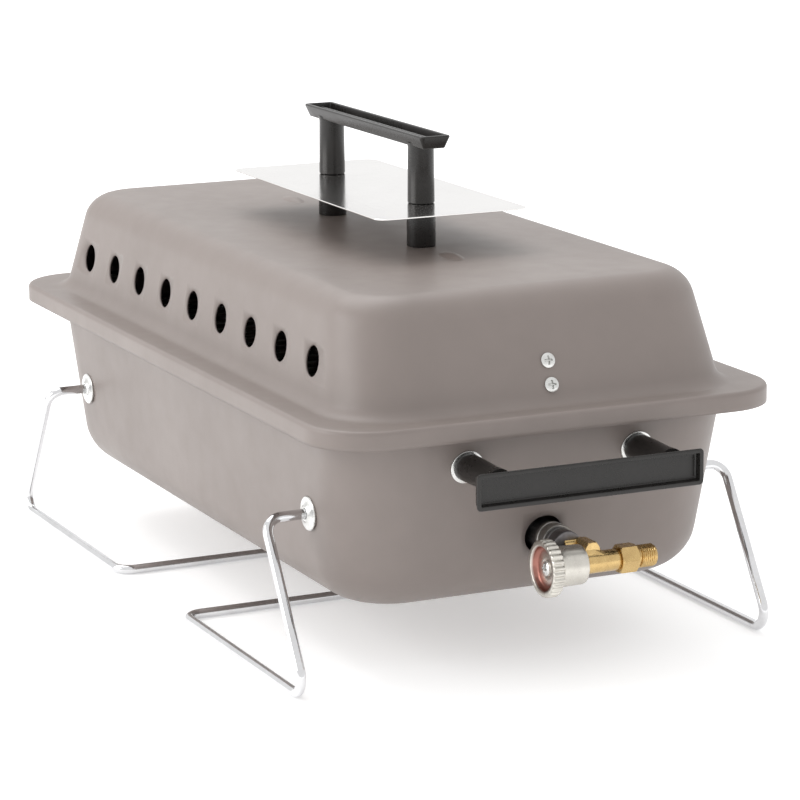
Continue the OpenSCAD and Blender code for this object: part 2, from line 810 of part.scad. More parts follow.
// ---- Strips inside the lid's ends, which hang into the firebox and keep the lid in place ----
strip_t = 1.5;
strip_w = 22;
strip_top = 8;
strip_drop = 14;
strip_gap = 2;
strip_x = box_x(rim_z - strip_drop) - sheet - strip_gap;

module lid_strip(side) {
    top_z = strip_screw_z(1) + strip_top;
    knee_z = ledge_z - 2;
    base_z = rim_z - strip_drop;
    in = (sheet + run_gap) / cos(dome_tilt_x);
    thick = strip_t / cos(dome_tilt_x);
    mirror([side < 0 ? 1 : 0, 0, 0]) color(steel) difference() {
        translate([0, strip_w / 2, 0]) rotate([90, 0, 0]) linear_extrude(strip_w) polygon([
            [dome_x(top_z) - in, top_z], [dome_x(ledge_z + 4) - in, ledge_z + 4],
            [strip_x, knee_z], [strip_x, base_z], [strip_x - strip_t, base_z],
            [strip_x - strip_t, knee_z + 1], [dome_x(ledge_z + 4) - in - thick, ledge_z + 5],
            [dome_x(top_z) - in - thick, top_z]]);
        for (i = [0, 1]) on_dome_end(1, 0, strip_screw_z(i))
            cylinder(r = strip_screw_r + screw_gap, h = 20, center = true);
    }
}

module lid_strip_right() {
    lid_strip(1);
}

module lid_strip_left() {
    lid_strip(-1);
}

module lid_strip_screws() {
    color(chrome) for (sx = [-1, 1], i = [0, 1]) on_dome_end(sx, 0, strip_screw_z(i)) {
        translate([0, 0, run_gap]) cylinder(r1 = 4.3, r2 = 3, h = 2);
        translate([0, 0, -8]) cylinder(r = strip_screw_r, h = 8.2);
    }
}

module lid_strip_nuts() {
    color(steel) for (sx = [-1, 1], i = [0, 1]) on_dome_end(sx, 0, strip_screw_z(i))
        translate([0, 0, -sheet - strip_t - 0.5 - 3]) difference() {
            cylinder(d = 8, h = 3, $fn = 6);
            translate([0, 0, -cut]) cylinder(r = strip_screw_r + run_gap, h = 5);
        }
}

firebox();
grid_supports();
burner_tube();
air_shutter();
burner_bracket();
burner_screw();
flame_tamer();
tamer_feet();
valve_body();
jet();
jet_holder();
gas_inlet();
valve_spindle();
knob();
knob_screw();
grid_frame();
grid_bars();
grid_braces();
leg_bushes();
leg_right();
leg_right_push_nuts();
leg_left();
leg_left_push_nuts();
side_handle_right();
side_handle_left();
side_handle_washers();
side_handle_screws();
lid();
lid_handle_spacers();
heat_shield();
lid_handle();
lid_handle_screws();
lid_handle_washers();
lid_strip_right();
lid_strip_left();
lid_strip_screws();
lid_strip_nuts();
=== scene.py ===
"""A folding camp grill: the visible pieces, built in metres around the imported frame."""
import math

import bpy
import numpy as np
from mathutils import Matrix, Vector


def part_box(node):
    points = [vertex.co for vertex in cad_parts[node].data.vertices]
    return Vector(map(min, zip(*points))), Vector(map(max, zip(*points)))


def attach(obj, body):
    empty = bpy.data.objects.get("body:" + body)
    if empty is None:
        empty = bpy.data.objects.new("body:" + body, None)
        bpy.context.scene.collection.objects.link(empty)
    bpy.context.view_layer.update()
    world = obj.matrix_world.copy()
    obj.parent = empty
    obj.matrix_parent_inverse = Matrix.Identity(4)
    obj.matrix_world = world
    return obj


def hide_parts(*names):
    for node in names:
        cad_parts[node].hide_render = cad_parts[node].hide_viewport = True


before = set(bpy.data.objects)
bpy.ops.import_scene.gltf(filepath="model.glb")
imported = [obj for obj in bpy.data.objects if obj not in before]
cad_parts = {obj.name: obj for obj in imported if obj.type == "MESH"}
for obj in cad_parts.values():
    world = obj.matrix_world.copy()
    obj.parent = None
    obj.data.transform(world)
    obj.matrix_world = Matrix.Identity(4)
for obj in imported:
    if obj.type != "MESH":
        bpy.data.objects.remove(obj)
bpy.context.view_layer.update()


# ---------------------------------------------------------------------------
# Lid. One pressing of 1.2 mm steel: a flat top, leaning walls, a ledge and a
# turned-down skirt, with a row of punched vents in the front wall and two low
# leg rests pressed up from the top. It is stoved in a warm grey satin paint.
# ---------------------------------------------------------------------------
MM = 0.001
SHEET = 1.2 * MM
LID_LOW, LID_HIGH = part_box("lid")
RIM_X, RIM_Y, SKIRT_Z = LID_HIGH[0], LID_HIGH[1], LID_LOW[2]
LID_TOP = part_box("lid_handle_spacers")[0][2]
LEDGE_Z = SKIRT_Z + 11 * MM
RIM_R = 38 * MM
DOME_X, DOME_Y, DOME_R = RIM_X - 18 * MM, RIM_Y - 22 * MM, 37 * MM
DOME_RUN_X, DOME_RUN_Y = 23 * MM, 10 * MM
DOME_EDGE = 14 * MM
LEDGE_ROOT = 7 * MM
SKIRT_EDGE = 2.6 * MM
VENT_N, VENT_R, VENT_PITCH = 9, 9.1 * MM, 46.1 * MM
VENT_Z = LEDGE_Z + 24.2 * MM
VENT_ROW, VENT_COLUMNS, VENT_REACH = 2.4 * MM, 18, 4


def outline(half_x, half_y, radius, run_x, run_y, bend=12):
    """Rings of a rectangle with round corners, one ring for each entry of the size arrays.
    run_x and run_y, from -1 to 1, spread the points along the straights; a quarter circle
    of the ring's radius joins them. Runs anticlockwise from the front left. (K, N, 2)."""
    half_x, half_y, radius = (np.atleast_1d(a)[:, None]
                              for a in np.broadcast_arrays(half_x, half_y, radius))
    lx, ly = half_x - radius, half_y - radius
    a = np.linspace(0, np.pi / 2, bend + 1)[1:-1]

    def corner(sx, sy, start):
        return sx * lx + radius * np.cos(a + start), sy * ly + radius * np.sin(a + start)

    tx, ty, one = run_x[None], run_y[None], np.ones_like
    parts = [(tx * lx, -half_y * one(tx)), corner(1, -1, -np.pi / 2),
             (half_x * one(ty), ty * ly), corner(1, 1, 0),
             (-tx * lx, half_y * one(tx)), corner(-1, 1, np.pi / 2),
             (-half_x * one(ty), -ty * ly), corner(-1, -1, np.pi)]
    return np.stack([np.concatenate([p[i] for p in parts], axis=1) for i in (0, 1)], axis=-1)


def rings(half_x, half_y, radius, z, run_x, run_y, bend=12):
    """The outline of each ring, lifted to its own height. (K, N, 3)."""
    flat = outline(half_x, half_y, radius, run_x, run_y, bend)
    return np.dstack([flat, np.broadcast_to(np.asarray(z)[:, None], flat.shape[:2])])


def patch(grid, flip=False, start_pole=False, end_pole=False, skip=None):
    """Quads between neighbouring points of a (K, N, 3) grid, the last column joined to the
    first. A pole closes an end ring on its centre, and skip masks quads left out."""
    k, n = grid.shape[:2]
    index = np.arange(k * n).reshape(k, n)
    right = np.roll(index, -1, axis=1)
    quads = np.stack([index[:-1], index[1:], right[1:], right[:-1]], axis=-1)
    keep = np.ones(quads.shape[:2], bool) if skip is None else ~skip
    verts = grid.reshape(-1, 3)
    faces = quads[keep].tolist()
    for wanted, ring, turn in ((start_pole, 0, 1), (end_pole, k - 1, -1)):
        if wanted:
            verts = np.vstack([verts, grid[ring].mean(axis=0)])
            pole = np.full(n, len(verts) - 1)
            fan = np.stack([pole, index[ring], right[ring]][::turn], axis=-1)
            faces += fan.tolist()
    if flip:
        faces = [face[::-1] for face in faces]
    return verts, faces


replaced = set()


def piece(name, patches, material, body, nodes, sharp=35, wall=0.0):
    """One object from several patches. Unused points are dropped, edges steeper than the
    sharp angle stay crisp, and wall gives an open pressing its thickness inwards."""
    verts = np.vstack([v for v, _ in patches])
    starts = np.cumsum([0] + [len(v) for v, _ in patches])[:-1]
    faces = [[int(i + s) for i in face] for (_, fs), s in zip(patches, starts) for face in fs]
    used = np.unique(np.concatenate([np.asarray(f) for f in faces]))
    renumber = np.full(len(verts), -1)
    renumber[used] = np.arange(len(used))
    mesh = bpy.data.meshes.new(name)
    mesh.from_pydata(verts[used].tolist(), [], [[int(renumber[i]) for i in f] for f in faces])
    mesh.validate()
    mesh.polygons.foreach_set("use_smooth", np.ones(len(mesh.polygons), bool))
    mesh.set_sharp_from_angle(angle=math.radians(sharp))
    mesh.materials.append(material)
    obj = bpy.data.objects.new(name, mesh)
    bpy.context.scene.collection.objects.link(obj)
    if wall:
        skin = obj.modifiers.new("wall", "SOLIDIFY")
        skin.thickness = wall
        skin.offset = -1
        skin.use_even_offset = True
    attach(obj, body)
    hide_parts(*nodes)
    replaced.update(nodes)
    return obj


def punch(grid, skip, row, column, reach, centre, across, up, radius):
    """A round hole in a grid: the quads within reach of a grid point are left out, and the
    square of points round them moves out or in to the circle, each along its own angle."""
    rows = np.arange(row - reach, row + reach + 1)
    columns = np.arange(column - reach, column + reach + 1)
    block = grid[np.ix_(rows, columns)]
    a = (block - centre) @ across
    b = (block - centre) @ up
    angle = np.arctan2(b, a)[..., None]
    circle = centre + radius * (np.cos(angle) * across + np.sin(angle) * up)
    edge = np.ones(block.shape[:2], bool)
    edge[1:-1, 1:-1] = False
    grid[np.ix_(rows, columns)] = np.where(edge[..., None], circle, block)
    skip[np.ix_(rows[:-1], columns[:-1])] = True


def group(name, inputs, outputs, build):
    """A shader node group with named sockets, filled in by build(tree, inlet, outlet)."""
    tree = bpy.data.node_groups.new(name, "ShaderNodeTree")
    for label, kind, value in inputs:
        socket = tree.interface.new_socket(label, in_out="INPUT", socket_type=kind)
        socket.default_value = value
    for label, kind in outputs:
        tree.interface.new_socket(label, in_out="OUTPUT", socket_type=kind)
    inlet, outlet = tree.nodes.new("NodeGroupInput"), tree.nodes.new("NodeGroupOutput")
    build(tree, inlet, outlet)
    return tree


def build_mottle(tree, inlet, outlet):
    """Soft blotches of one colour towards another, from two sizes of noise."""
    coord = tree.nodes.new("ShaderNodeTexCoord")
    wide, fine = tree.nodes.new("ShaderNodeTexNoise"), tree.nodes.new("ShaderNodeTexNoise")
    times = tree.nodes.new("ShaderNodeMath")
    times.operation = "MULTIPLY"
    times.inputs[1].default_value = 9.0
    mean = tree.nodes.new("ShaderNodeMix")
    mean.inputs[0].default_value = 0.35
    ramp = tree.nodes.new("ShaderNodeMapRange")
    ramp.inputs["From Min"].default_value = 0.35
    ramp.inputs["From Max"].default_value = 0.65
    mix = tree.nodes.new("ShaderNodeMix")
    mix.data_type = "RGBA"
    link = tree.links.new
    for noise in (wide, fine):
        noise.inputs["Detail"].default_value = 4.0
        link(coord.outputs["Object"], noise.inputs["Vector"])
    link(inlet.outputs["Scale"], wide.inputs["Scale"])
    link(inlet.outputs["Scale"], times.inputs[0])
    link(times.outputs[0], fine.inputs["Scale"])
    link(wide.outputs["Fac"], mean.inputs[2])
    link(fine.outputs["Fac"], mean.inputs[3])
    link(mean.outputs[0], ramp.inputs["Value"])
    link(ramp.outputs[0], mix.inputs["Factor"])
    link(inlet.outputs["Colour"], mix.inputs["A"])
    link(inlet.outputs["Other"], mix.inputs["B"])
    link(mix.outputs["Result"], outlet.inputs["Colour"])
    link(ramp.outputs[0], outlet.inputs["Mask"])


def build_peel(tree, inlet, outlet):
    """The fine skin of a sprayed or cast surface, as a bumped normal."""
    coord = tree.nodes.new("ShaderNodeTexCoord")
    noise, bump = tree.nodes.new("ShaderNodeTexNoise"), tree.nodes.new("ShaderNodeBump")
    noise.inputs["Detail"].default_value = 3.0
    bump.inputs["Distance"].default_value = 0.0002
    link = tree.links.new
    link(coord.outputs["Object"], noise.inputs["Vector"])
    link(inlet.outputs["Scale"], noise.inputs["Scale"])
    link(noise.outputs["Fac"], bump.inputs["Height"])
    link(inlet.outputs["Strength"], bump.inputs["Strength"])
    link(bump.outputs["Normal"], outlet.inputs["Normal"])


MOTTLE = group("mottle", [("Colour", "NodeSocketColor", (0.5, 0.5, 0.5, 1)),
                          ("Other", "NodeSocketColor", (0.5, 0.5, 0.5, 1)),
                          ("Scale", "NodeSocketFloat", 6.0)],
               [("Colour", "NodeSocketColor"), ("Mask", "NodeSocketFloat")], build_mottle)
PEEL = group("peel", [("Scale", "NodeSocketFloat", 800.0), ("Strength", "NodeSocketFloat", 0.2)],
             [("Normal", "NodeSocketVector")], build_peel)


def finish_of(name, colour, other, mottle_scale, rough, peel_scale, peel_strength, **fixed):
    """A material: mottled colour, roughness that follows the blotches, and a fine skin.
    rough is its lowest and highest roughness; fixed sets Principled sockets by name."""
    material = bpy.data.materials.new(name)
    material.use_nodes = True
    tree = material.node_tree
    shader = tree.nodes["Principled BSDF"]
    for label, value in fixed.items():
        shader.inputs[label.replace("_", " ")].default_value = value
    mottle, peel = tree.nodes.new("ShaderNodeGroup"), tree.nodes.new("ShaderNodeGroup")
    mottle.node_tree, peel.node_tree = MOTTLE, PEEL
    mottle.inputs["Colour"].default_value = (*colour, 1)
    mottle.inputs["Other"].default_value = (*other, 1)
    mottle.inputs["Scale"].default_value = mottle_scale
    peel.inputs["Scale"].default_value = peel_scale
    peel.inputs["Strength"].default_value = peel_strength
    spread = tree.nodes.new("ShaderNodeMapRange")
    spread.inputs["To Min"].default_value, spread.inputs["To Max"].default_value = rough
    link = tree.links.new
    link(mottle.outputs["Colour"], shader.inputs["Base Color"])
    link(mottle.outputs["Mask"], spread.inputs["Value"])
    link(spread.outputs[0], shader.inputs["Roughness"])
    link(peel.outputs["Normal"], shader.inputs["Normal"])
    return material


def sized(half, radius, z):
    """Half-length, half-width, corner radius and height of a run of rings, one row each."""
    return np.stack(np.broadcast_arrays(half[0], half[1], radius, z))


def dome_rings():
    """Sizes of the lid's rings from the top's middle to the skirt: flat top, quarter-round
    edge, leaning wall, hollow root, ledge, rounded rim and straight skirt."""
    def wall(z):
        down = (LEDGE_Z - z) / (LID_TOP - LEDGE_Z)
        return DOME_X + DOME_RUN_X * down, DOME_Y + DOME_RUN_Y * down

    a = np.linspace(0, np.pi / 2, 9)
    z = LID_TOP - DOME_EDGE * (1 - np.cos(a))
    inset = DOME_EDGE * (1 - np.sin(a))
    edge = sized([h - inset for h in wall(z)], np.maximum(DOME_R - inset, 10 * MM), z)
    top = edge[:, :1] * np.linspace(0.06, 1, 16)[None, :-1]
    top[3] = LID_TOP
    z = VENT_Z + VENT_ROW * np.arange(10, -7, -1)
    side = sized(wall(z), DOME_R, z)
    a = np.linspace(0, np.pi / 2, 8)
    z = LEDGE_Z + LEDGE_ROOT * (1 - np.sin(a))
    out = LEDGE_ROOT * (1 - np.cos(a))
    root = sized([h + out for h in wall(z)], DOME_R + out, z)
    a = np.linspace(0, np.pi / 2, 7)
    out = SKIRT_EDGE * (np.sin(a) - 1)
    rim = sized((RIM_X + out, RIM_Y + out), RIM_R + out, LEDGE_Z - SKIRT_EDGE * (1 - np.cos(a)))
    t = np.linspace(0, 1, 5)[1:-1]
    ledge = root[:, -1:] + (rim[:, :1] - root[:, -1:]) * t
    z = np.linspace(LEDGE_Z - SKIRT_EDGE, SKIRT_Z, 5)[1:]
    skirt = sized((RIM_X, RIM_Y), RIM_R, z)
    return np.hstack([top, edge, side, root, ledge, rim, skirt])


PAINT = finish_of("stoved_grey_paint", (0.206, 0.173, 0.158), (0.189, 0.159, 0.145),
                  mottle_scale=7, rough=(0.42, 0.52), peel_scale=1500, peel_strength=0.10,
                  Specular_IOR_Level=0.5, Coat_Weight=0.12, Coat_Roughness=0.35)

# The grid's columns are spaced so that each vent sits on one of them.
vent_step = VENT_PITCH / VENT_COLUMNS
vent_lx = DOME_X - DOME_RUN_X * (VENT_Z - LEDGE_Z) / (LID_TOP - LEDGE_Z) - DOME_R
half_columns = VENT_COLUMNS * (VENT_N // 2) + VENT_REACH
columns = np.arange(-half_columns, half_columns + 1)
run_x = np.concatenate([[-1], columns * vent_step / vent_lx, [1]])
run_y = np.linspace(-1, 1, 31)
sizes = dome_rings()
dome = rings(*sizes, run_x, run_y)
vent_row = int(np.argmin(np.abs(sizes[3] - VENT_Z)))
lean = math.atan2(DOME_RUN_Y, LID_TOP - LEDGE_Z)
left_out = np.zeros((len(dome) - 1, dome.shape[1]), bool)
for place in range(-(VENT_N // 2), VENT_N // 2 + 1):
    middle = np.array([place * VENT_PITCH, dome[vent_row, 0, 1], VENT_Z])
    column = 1 + half_columns + VENT_COLUMNS * place
    punch(dome, left_out, vent_row, column, VENT_REACH, middle, np.array([1.0, 0, 0]),
          np.array([0, math.sin(lean), math.cos(lean)]), VENT_R)

REST_X, REST_L, REST_W, REST_H = 119 * MM, 30 * MM, 12 * MM, 2.4 * MM


def leg_rest(side):
    """A pressed-up lens: rings of a pointed oval, risen by a smooth bell over its width."""
    rho = np.linspace(1, 0.04, 12)[:, None]
    a = np.linspace(0, 2 * np.pi, 48, endpoint=False)[None]
    x = side * REST_X + rho * REST_L / 2 * np.cos(a)
    y = rho * REST_W / 2 * np.sin(a) * np.abs(np.sin(a)) ** 0.35
    z = LID_TOP - 0.1 * MM + REST_H * (1 - rho ** 2) ** 1.1 + 0 * a
    return patch(np.dstack([x, y, z])[::-1], start_pole=True)


piece("lid_shell", [patch(dome, start_pole=True, skip=left_out)], PAINT, "lid",
      ["lid"], wall=SHEET)
piece("lid_leg_rests", [leg_rest(s) for s in (-1, 1)], PAINT, "lid", ["lid"])


# ---------------------------------------------------------------------------
# Firebox. A deep pressing of the same steel and paint: round floor edge, walls
# that lean out to a flat flange with a small hem, and a hole for the burner.
# ---------------------------------------------------------------------------
BOX_LOW, BOX_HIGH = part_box("firebox")
FLOOR_Z, BOX_RIM_Z = BOX_LOW[2], BOX_HIGH[2]
MOUTH_X, MOUTH_Y, WALL_R = RIM_X - 14 * MM, RIM_Y - 18.5 * MM, 45 * MM
BOX_DRAW_X, BOX_DRAW_Y, FLOOR_EDGE = 25 * MM, 8 * MM, 25 * MM
BURNER_Z, NECK_HOLE_R = FLOOR_Z + 39 * MM, 12 * MM
FLANGE_ROOT, HEM_R, BOX_STEP = 1.6 * MM, 34 * MM, 2.5 * MM


def box_half(z):
    """Half-length and half-width of the firebox outside its wall at height z."""
    down = (BOX_RIM_Z - z) / (BOX_RIM_Z - FLOOR_Z)
    return MOUTH_X - BOX_DRAW_X * down, MOUTH_Y - BOX_DRAW_Y * down


def box_rings():
    """Ring sizes from the floor's middle up the outside of the walls to the flange's hem."""
    a = np.linspace(0, np.pi / 2, 11)
    z = FLOOR_Z + FLOOR_EDGE * (1 - np.cos(a))
    inset = FLOOR_EDGE * (1 - np.sin(a))
    edge = sized([h - inset for h in box_half(z)], np.maximum(WALL_R - inset, 10 * MM), z)
    floor = edge[:, :1] * np.linspace(0.06, 1, 14)[None, :-1]
    floor[3] = FLOOR_Z
    z = BURNER_Z + BOX_STEP * np.arange(-5, 30)
    side = sized(box_half(z), WALL_R, z)
    a = np.linspace(0, np.pi / 2, 5)
    z = BOX_RIM_Z - SHEET - FLANGE_ROOT * (1 - np.sin(a))
    out = FLANGE_ROOT * (1 - np.cos(a))
    turn = sized([h + out for h in box_half(z)], WALL_R + out, z)
    flange = sized((BOX_HIGH[0] - 1.6 * MM, BOX_HIGH[1] - 1.6 * MM), HEM_R,
                   np.array([BOX_RIM_Z - SHEET]))
    hem = sized((BOX_HIGH[0] - SHEET, BOX_HIGH[1] - SHEET), HEM_R,
                BOX_RIM_Z - np.array([1.6, 3.5, 6]) * MM)
    return np.hstack([floor, edge, side, turn, flange, hem])


# The burner's hole is centred on a point of the grid, halfway along the right end wall.
long_points, corner_points, half_points = 81, 11, 30
sizes = box_rings()
box_run_y = np.arange(-half_points, half_points + 1) * BOX_STEP / (box_half(BURNER_Z)[1] - WALL_R)
box_run_y[[0, -1]] = -1, 1
shell = rings(*sizes, np.linspace(-1, 1, long_points), box_run_y)
left_out = np.zeros((len(shell) - 1, shell.shape[1]), bool)
hole_row = int(np.argmin(np.abs(sizes[3] - BURNER_Z)))
end_lean = math.atan2(BOX_DRAW_X, BOX_RIM_Z - FLOOR_Z)
hole_column = long_points + corner_points + half_points
punch(shell, left_out, hole_row, hole_column, 5, np.array([box_half(BURNER_Z)[0], 0, BURNER_Z]),
      np.array([0, 1.0, 0]), np.array([math.sin(end_lean), 0, math.cos(end_lean)]), NECK_HOLE_R)
piece("firebox_shell", [patch(shell, flip=True, start_pole=True, skip=left_out)], PAINT,
      "base", ["firebox"], wall=SHEET)


# ---------------------------------------------------------------------------
# Lid handle. Black moulded plastic: a long shallow tray with a rib down its
# middle, on two round posts. Screws from inside the lid run up into the posts.
# ---------------------------------------------------------------------------
BLACK = finish_of("black_moulding", (0.010, 0.009, 0.008), (0.017, 0.015, 0.014),
                  mottle_scale=40, rough=(0.24, 0.34), peel_scale=2600, peel_strength=0.12,
                  Specular_IOR_Level=0.42)
GRIP_LOW, GRIP_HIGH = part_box("lid_handle")
SHIELD_LOW, SHIELD_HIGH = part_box("heat_shield")
GRIP_MID = (GRIP_LOW[0] + GRIP_HIGH[0]) / 2
GRIP_H = 8 * MM
POST_GAP, POST_R = 132.4 * MM, 8.2 * MM


def tray(length, width, height, wall, depth, lip=1.0 * MM):
    """A shallow tray as rings: under side, outer wall, rounded lip, inner wall and floor,
    all from offsets of one rounded rectangle. Local X is long, Z is up from the under side."""
    hx, hy, r = length / 2, width / 2, 2.6 * MM
    a = np.linspace(0, np.pi / 2, 5)
    low = [(-2.6 * MM - lip * (1 - np.sin(t)), lip * (1 - np.cos(t))) for t in a]
    top = [(-lip * (1 - np.cos(t)), height - lip * (1 - np.sin(t))) for t in a]
    inner = [(-wall + lip * 0.6 * (1 - np.sin(t)), height - lip * 0.6 * (1 - np.cos(t))) for t in a]
    floor = [(-wall - 0.4 * MM, height - depth + 0.5 * MM), (-wall - 1.0 * MM, height - depth)]
    steps = np.array(low + top + inner + floor)
    fill = np.array([0.15, 0.5, 0.85])
    off, z = steps[:, 0], steps[:, 1]
    run_long, run_short = np.linspace(-1, 1, 25), np.linspace(-1, 1, 7)
    body = rings(hx + off, hy + off, np.maximum(r + off, 0.6 * MM), z, run_long, run_short, 6)
    bottom = rings(fill * (hx + off[0]), fill * (hy + off[0]), fill * (r + off[0]), fill * 0,
                   run_long, run_short, 6)
    inside = rings(fill[::-1] * (hx + off[-1]), fill[::-1] * (hy + off[-1]), fill[::-1] * 0.6 * MM,
                   fill * 0 + z[-1], run_long, run_short, 6)
    return np.concatenate([bottom, body, inside])


def square_axes(axis):
    """The axis as an array, and two directions square to it and to each other."""
    axis = np.asarray(axis, float)
    side = np.cross(axis, [0, 0, 1.0] if abs(axis[2]) < 0.9 else [0, 1.0, 0])
    side /= np.linalg.norm(side)
    return axis, side, np.cross(axis, side)


def lathe(profile, at, axis, turns=48, shape=None):
    """A turned surface: profile rows are (radius, distance along the axis) from the point
    at. shape(angle, radius, distance) may swell or cut the radius round the axis."""
    axis, side, third = square_axes(axis)
    radius, along = np.asarray(profile, float).T[:, :, None]
    angle = np.linspace(0, 2 * np.pi, turns, endpoint=False)[None]
    radius = radius + 0 * angle if shape is None else shape(angle, radius, along)
    return (np.asarray(at) + radius[..., None] * (np.cos(angle)[..., None] * side
            + np.sin(angle)[..., None] * third) + (along + 0 * angle)[..., None] * axis)


def turned(profile, at, axis, turns=48, shape=None):
    """A closed turned solid: the profile starts and ends near the axis, and runs so that
    distance grows first along the back and the outside."""
    return patch(lathe(profile, at, axis, turns, shape), flip=True, start_pole=True, end_pole=True)


def rounded(radius, length, edge, steps=4):
    """The profile of a bar with rounded ends."""
    a = np.linspace(0, np.pi / 2, steps)
    back = [(radius - edge * (1 - math.sin(t)), edge * (1 - math.cos(t))) for t in a]
    front = [(radius - edge * (1 - math.sin(t)), length - edge * (1 - math.cos(t))) for t in a[::-1]]
    return [(radius * 0.1, 0)] + back + front + [(radius * 0.1, length)]


grip_z = GRIP_HIGH[2] - GRIP_H
grip = tray(GRIP_HIGH[0] - GRIP_LOW[0], GRIP_HIGH[1] - GRIP_LOW[1], GRIP_H, 2.4 * MM, 5 * MM)
grip = grip + np.array([GRIP_MID, 0, grip_z])
rib = rings(np.array([82.5, 83, 83, 82.7, 81.5]) * MM, np.array([1.2, 1.2, 1.1, 0.8, 0.3]) * MM,
            np.array([0.4, 0.4, 0.4, 0.3, 0.1]) * MM, np.array([2.6, 3, 5.4, 5.9, 6]) * MM,
            np.linspace(-1, 1, 9), np.linspace(-1, 1, 3), 4) + np.array([GRIP_MID, 0, grip_z])
post_h = grip_z - SHIELD_HIGH[2] + 2 * MM
POST = [(0.8 * MM, 0), (POST_R - 0.9 * MM, 0), (POST_R - 0.3 * MM, 0.3 * MM), (POST_R, 1.0 * MM),
        (POST_R - 0.3 * MM, post_h - 3 * MM), (POST_R + 0.3 * MM, post_h), (0.8 * MM, post_h)]
posts = [turned(POST, (GRIP_MID + s * POST_GAP / 2, 0, SHIELD_HIGH[2] + 0.05 * MM), (0, 0, 1))
         for s in (-1, 1)]
piece("lid_handle_moulding", [patch(grip, flip=True, start_pole=True, end_pole=True),
                              patch(rib, flip=True, end_pole=True)] + posts,
      BLACK, "lid", ["lid_handle"])


# ---------------------------------------------------------------------------
# Spacers and heat shield. Two black sleeves hold a thin polished plate above
# the lid; the handle's screws clamp sleeves, plate and posts together.
# ---------------------------------------------------------------------------
SPACER_R = 8.8 * MM
spacer_h = SHIELD_LOW[2] - LID_TOP - 0.1 * MM
sleeve = rounded(SPACER_R, spacer_h, 0.6 * MM)
spacers = [turned(sleeve, (GRIP_MID + s * POST_GAP / 2, 0, LID_TOP + 0.05 * MM), (0, 0, 1))
           for s in (-1, 1)]
piece("spacer_sleeves", spacers, BLACK, "lid", ["lid_handle_spacers"])


def build_brushed(tree, inlet, outlet):
    """Long fine scratches along one axis: noise stretched by a mapping, as a normal and a mask."""
    coord, mapping = tree.nodes.new("ShaderNodeTexCoord"), tree.nodes.new("ShaderNodeMapping")
    noise, bump = tree.nodes.new("ShaderNodeTexNoise"), tree.nodes.new("ShaderNodeBump")
    noise.inputs["Scale"].default_value = 1.0
    noise.inputs["Detail"].default_value = 4.0
    bump.inputs["Distance"].default_value = 0.0002
    link = tree.links.new
    link(coord.outputs["Object"], mapping.inputs["Vector"])
    link(inlet.outputs["Stretch"], mapping.inputs["Scale"])
    link(mapping.outputs[0], noise.inputs["Vector"])
    link(noise.outputs["Fac"], bump.inputs["Height"])
    link(inlet.outputs["Strength"], bump.inputs["Strength"])
    link(bump.outputs["Normal"], outlet.inputs["Normal"])
    link(noise.outputs["Fac"], outlet.inputs["Mask"])


BRUSHED = group("brushed", [("Stretch", "NodeSocketVector", (40, 900, 900)),
                            ("Strength", "NodeSocketFloat", 0.1)],
                [("Normal", "NodeSocketVector"), ("Mask", "NodeSocketFloat")], build_brushed)


def metal(name, colour, other, rough, stretch, strength, mottle_scale=30):
    """Bare metal: mottled tint, and a grain of fine scratches that also roughens it."""
    material = bpy.data.materials.new(name)
    material.use_nodes = True
    tree = material.node_tree
    shader = tree.nodes["Principled BSDF"]
    shader.inputs["Metallic"].default_value = 1.0
    mottle, grain = tree.nodes.new("ShaderNodeGroup"), tree.nodes.new("ShaderNodeGroup")
    mottle.node_tree, grain.node_tree = MOTTLE, BRUSHED
    mottle.inputs["Colour"].default_value = (*colour, 1)
    mottle.inputs["Other"].default_value = (*other, 1)
    mottle.inputs["Scale"].default_value = mottle_scale
    grain.inputs["Stretch"].default_value = stretch
    grain.inputs["Strength"].default_value = strength
    spread = tree.nodes.new("ShaderNodeMapRange")
    spread.inputs["From Min"].default_value = 0.3
    spread.inputs["From Max"].default_value = 0.7
    spread.inputs["To Min"].default_value, spread.inputs["To Max"].default_value = rough
    link = tree.links.new
    link(mottle.outputs["Colour"], shader.inputs["Base Color"])
    link(grain.outputs["Mask"], spread.inputs["Value"])
    link(spread.outputs[0], shader.inputs["Roughness"])
    link(grain.outputs["Normal"], shader.inputs["Normal"])
    return material


POLISHED = metal("polished_plate", (0.86, 0.845, 0.83), (0.82, 0.805, 0.79),
                 rough=(0.10, 0.20), stretch=(120, 1500, 900), strength=0.05)
shield_x, shield_y = (SHIELD_HIGH[0] - SHIELD_LOW[0]) / 2, (SHIELD_HIGH[1] - SHIELD_LOW[1]) / 2
shield_t = SHIELD_HIGH[2] - SHIELD_LOW[2]
under = np.array([shield_x * 0.9, shield_x * 0.5, 0.25 * MM, 0])
inset = np.concatenate([under, under[::-1]])
level = np.array([0, 0, 0, 0.25, 0.75, 1, 1, 1]) * shield_t
keep = np.clip(1 - inset / shield_x, 0, 1)
plate = rings(shield_x * keep, shield_y * keep, 8 * MM * keep, level,
              np.linspace(-1, 1, 21), np.linspace(-1, 1, 11))
plate = plate + np.array([GRIP_MID, 0, SHIELD_LOW[2]])
piece("shield_plate", [patch(plate, flip=True, start_pole=True, end_pole=True)], POLISHED,
      "lid", ["heat_shield"])


# ---------------------------------------------------------------------------
# Screws in the lid's ends. Zinc-plated pan heads with a cross recess hold the
# locating strips inside; the same heads finish every screw that shows.
# ---------------------------------------------------------------------------
ZINC = metal("zinc_plate", (0.72, 0.72, 0.71), (0.60, 0.60, 0.58), rough=(0.18, 0.34),
             stretch=(300, 300, 300), strength=0.15, mottle_scale=300)
HEAD_R, HEAD_H = 4.3 * MM, 2.2 * MM


